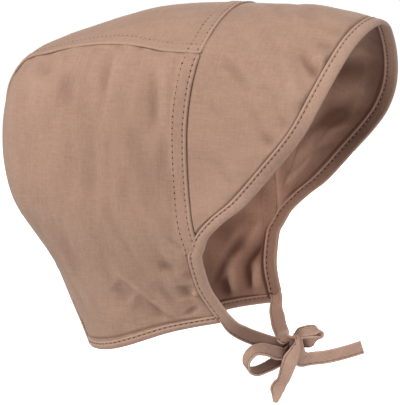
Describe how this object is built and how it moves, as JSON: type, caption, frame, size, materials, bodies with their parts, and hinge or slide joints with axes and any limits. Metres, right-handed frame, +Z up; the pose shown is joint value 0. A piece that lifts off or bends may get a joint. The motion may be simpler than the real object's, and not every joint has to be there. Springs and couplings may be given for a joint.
{
  "type": "baby's sun hat",
  "caption": "Baby's sun bonnet of plain cloth with a deep visor, bound edges and chin ties knotted in a bow.",
  "frame": {"origin": "inside top of the crown, where the top of the wearer's head touches it", "axes": "+Z up; the hat faces -Y; the wearer's right side is -X and their left side is +X"},
  "size_m": [0.119, 0.2235, 0.2167],
  "materials": {
    "cloth": "matt plain-woven linen and cotton, with fine slubs",
    "tape": "matt folded bias tape of the same cloth, a little paler"
  },
  "bodies": {
    "root": {"side_panel_right": "cloth", "side_panel_left": "cloth", "crown_strip": "cloth", "brim": "cloth", "face_binding": "tape", "neck_binding": "tape", "tie_right": "tape", "tie_left": "tape", "bow_knot": "tape", "bow_loop_right": "tape", "bow_loop_left": "tape", "tie_end_down": "tape", "tie_end_side": "tape"}
  },
  "joints": []
}
